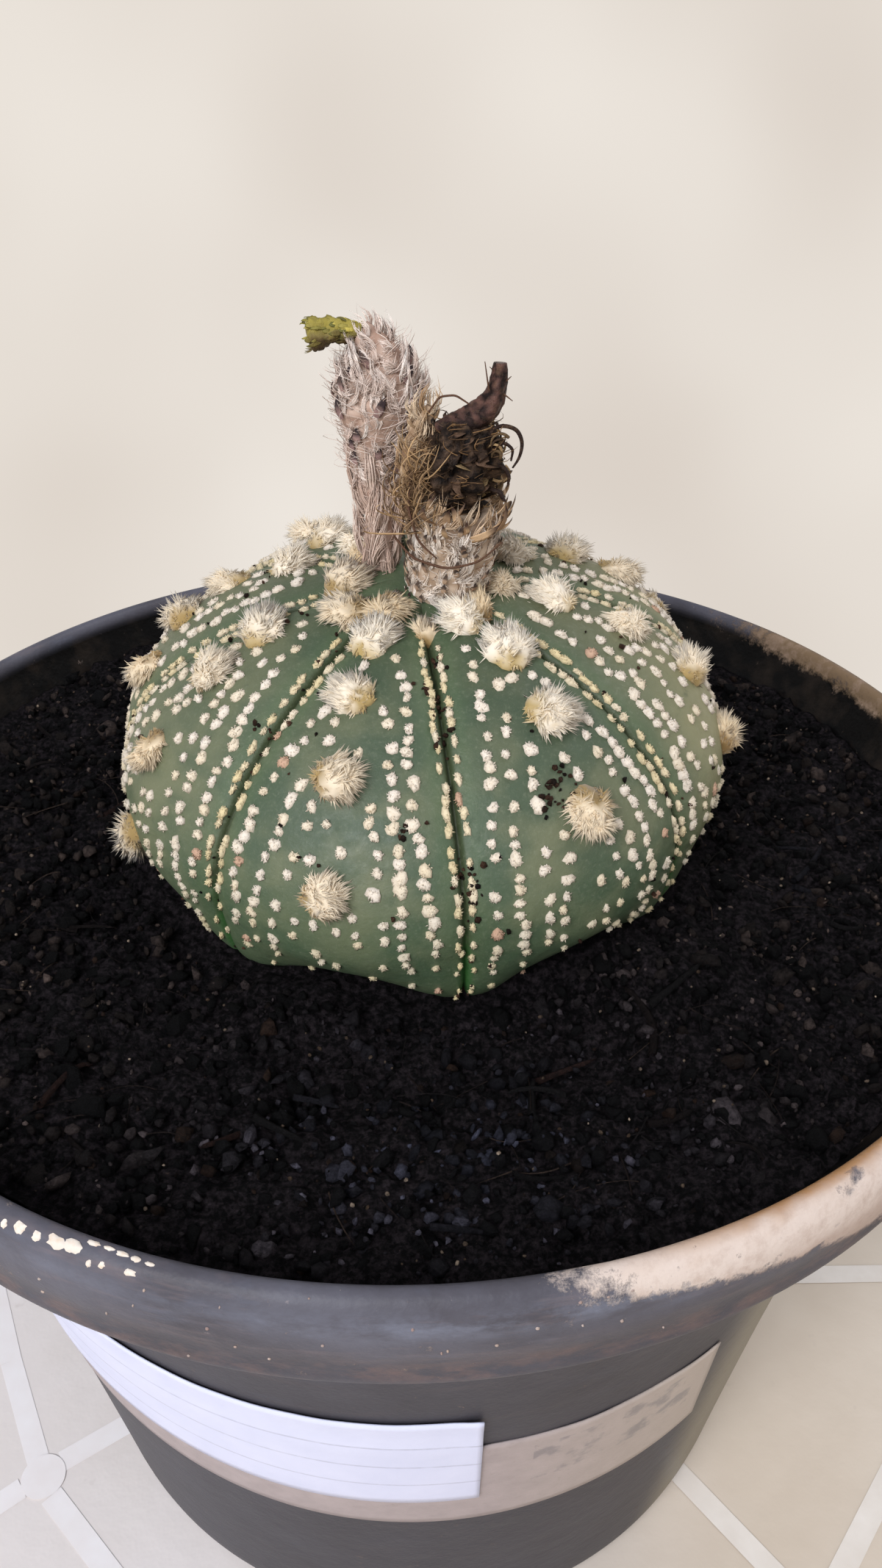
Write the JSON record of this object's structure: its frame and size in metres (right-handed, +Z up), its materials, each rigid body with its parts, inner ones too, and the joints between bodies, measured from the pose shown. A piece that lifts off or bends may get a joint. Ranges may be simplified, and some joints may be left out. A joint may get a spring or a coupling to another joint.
{
  "type": "potted star cactus",
  "caption": "Low ribbed star cactus with rows of white woolly flecks, cream tufts and dried blooms at its crown, in dark soil in a round grey nursery pot.",
  "frame": {"origin": "centre of the foot ring that the pot stands on, at the middle of the bounding box's base", "axes": "+Z up the pot's axis, -Y towards the front with the label, +X to the viewer's right"},
  "size_m": [0.15, 0.15, 0.1647],
  "materials": {
    "pot_plastic": "grey moulded polypropylene, satin, scuffed, with pale mineral crust on the rim",
    "tape": "aged beige adhesive tape, slightly glossy, with a grey smudge",
    "label_paper": "white paper, matt, with faint plain ruled lines",
    "soil_mix": "coarse black crumbly mix of bark, charcoal and fibres, moist",
    "cactus_skin": "waxy grey-green living skin with white woolly flecks and cream tufts",
    "dried_wool": "dried woolly hairs and papery scales with dark tips",
    "withered_tip": "withered yellow-green petals, dry",
    "withered_flower": "shrivelled dark brown petals, dry, faint gloss"
  },
  "bodies": {
    "root": {"pot": "pot_plastic", "tape_strip": "tape", "paper_label": "label_paper", "soil": "soil_mix", "cactus_body": "cactus_skin", "spent_bloom_left": "dried_wool", "spent_bloom_left_tip": "withered_tip", "spent_bloom_right": "dried_wool", "spent_bloom_right_flower": "withered_flower"}
  },
  "joints": []
}
